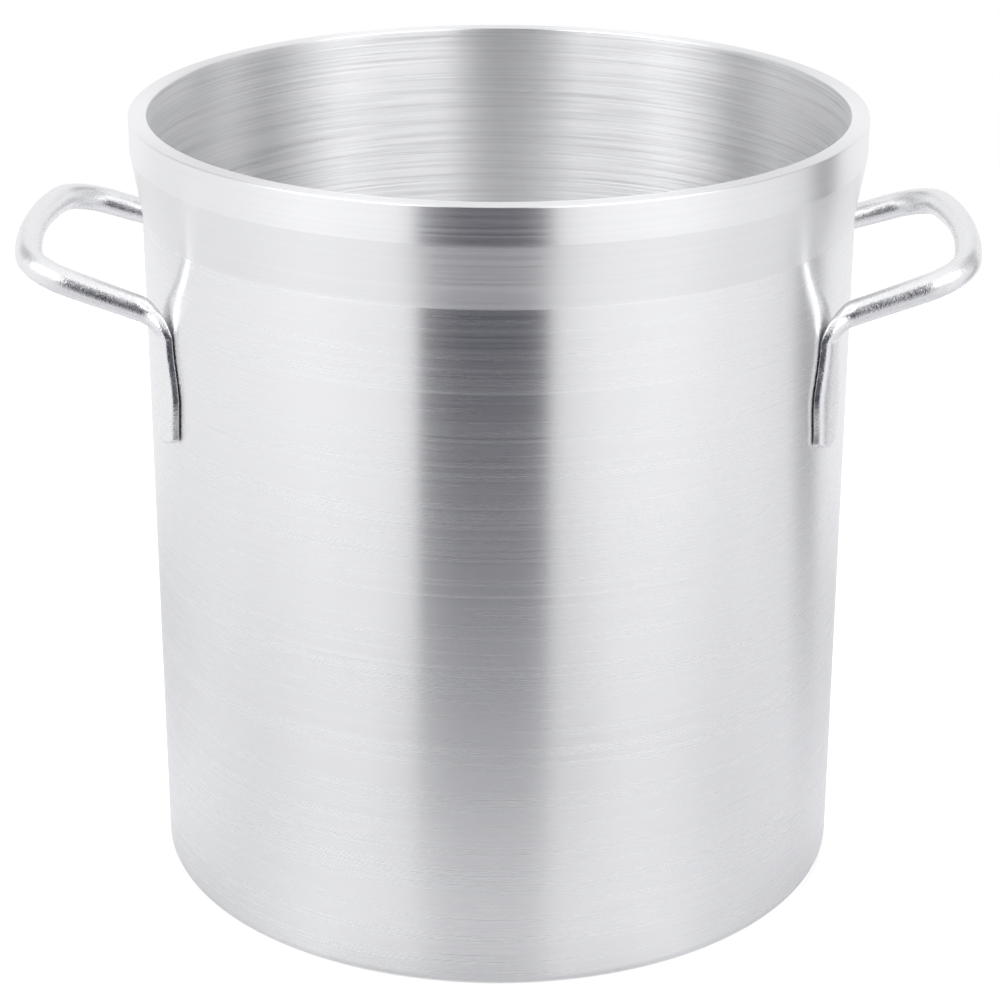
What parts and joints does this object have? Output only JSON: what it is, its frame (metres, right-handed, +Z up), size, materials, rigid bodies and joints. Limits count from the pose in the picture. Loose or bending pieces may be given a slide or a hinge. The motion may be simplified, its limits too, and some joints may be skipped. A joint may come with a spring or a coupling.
{
  "type": "stock pot",
  "caption": "Tall open cylindrical aluminium stock pot with a thick stepped rim band and fixed upswept loop handles of bent rod welded to the wall.",
  "frame": {"origin": "centre of the base, on the surface the pot stands on", "axes": "+Z up along the pot's axis, +X towards one handle, -X towards the other, -Y is the front"},
  "size_m": [0.4832, 0.368, 0.4],
  "materials": {
    "pot_shell": "fine brushing round the axis, coarser turning rings inside",
    "handle_rod": "satin, slightly grainy",
    "weld": "matt fused metal"
  },
  "bodies": {
    "root": {"pot_body": "pot_shell", "handle_left": "handle_rod", "handle_right": "handle_rod", "weld_left_front_upper": "weld", "weld_left_front_lower": "weld", "weld_left_back_upper": "weld", "weld_left_back_lower": "weld", "weld_right_front_upper": "weld", "weld_right_front_lower": "weld", "weld_right_back_upper": "weld", "weld_right_back_lower": "weld"}
  },
  "joints": []
}
